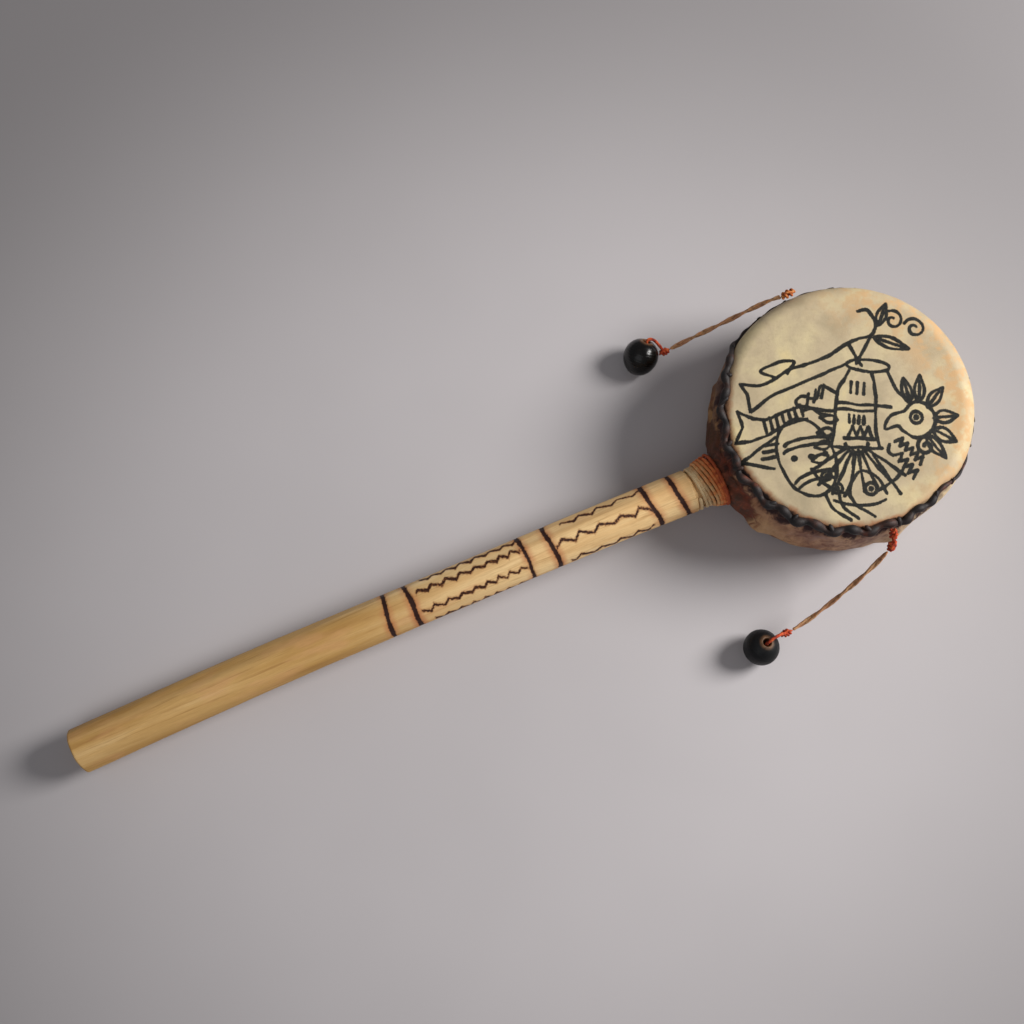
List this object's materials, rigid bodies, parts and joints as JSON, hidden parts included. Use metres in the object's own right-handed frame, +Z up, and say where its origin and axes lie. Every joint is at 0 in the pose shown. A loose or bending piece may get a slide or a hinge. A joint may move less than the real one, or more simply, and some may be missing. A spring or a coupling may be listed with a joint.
{
  "type": "pellet hand drum",
  "caption": "Small hide-covered hand drum on a long peeled-stick handle, with a laced rim, a twine-bound neck and wooden striker beads on short cords.",
  "frame": {"origin": "bottom centre of the box round the drum and its stick, on the surface it lies on, with the striker cords and beads left out", "axes": "+X along the stick from its butt to the drum, +Y across the drum, +Z up; the drum lies with its struck head up, tilted 2.3 degrees because the butt rests lower than the drum's middle"},
  "size_m": [0.4012, 0.1519, 0.0476],
  "materials": {
    "stick_wood": "peeled bare wood, lightly whittled, with burnt rings and zigzags",
    "hoop_wood": "carved brown wood, unfinished inside",
    "head_hide": "cream rawhide, drum tight, faintly blotched, with an ink drawing",
    "side_hide": "brown and tan rawhide in dried folds",
    "lacing_cord": "dark waxed cord",
    "twine": "twisted twine, tan running to rust",
    "knot_thread": "red-orange dyed thread",
    "striker_cord": "two-strand tan cord",
    "bead_wood": "turned wood stained near black, satin"
  },
  "bodies": {
    "root": {"stick": "stick_wood", "hoop": "hoop_wood", "head_hide": "head_hide", "side_hide": "side_hide", "lacing": "lacing_cord", "neck_binding": "twine", "rim_knot_left": "knot_thread", "rim_knot_right": "knot_thread", "bead_knot_left": "knot_thread", "bead_knot_right": "knot_thread", "striker_cord_left": "striker_cord", "striker_cord_right": "striker_cord", "bead_left": "bead_wood", "bead_right": "bead_wood"}
  },
  "joints": []
}
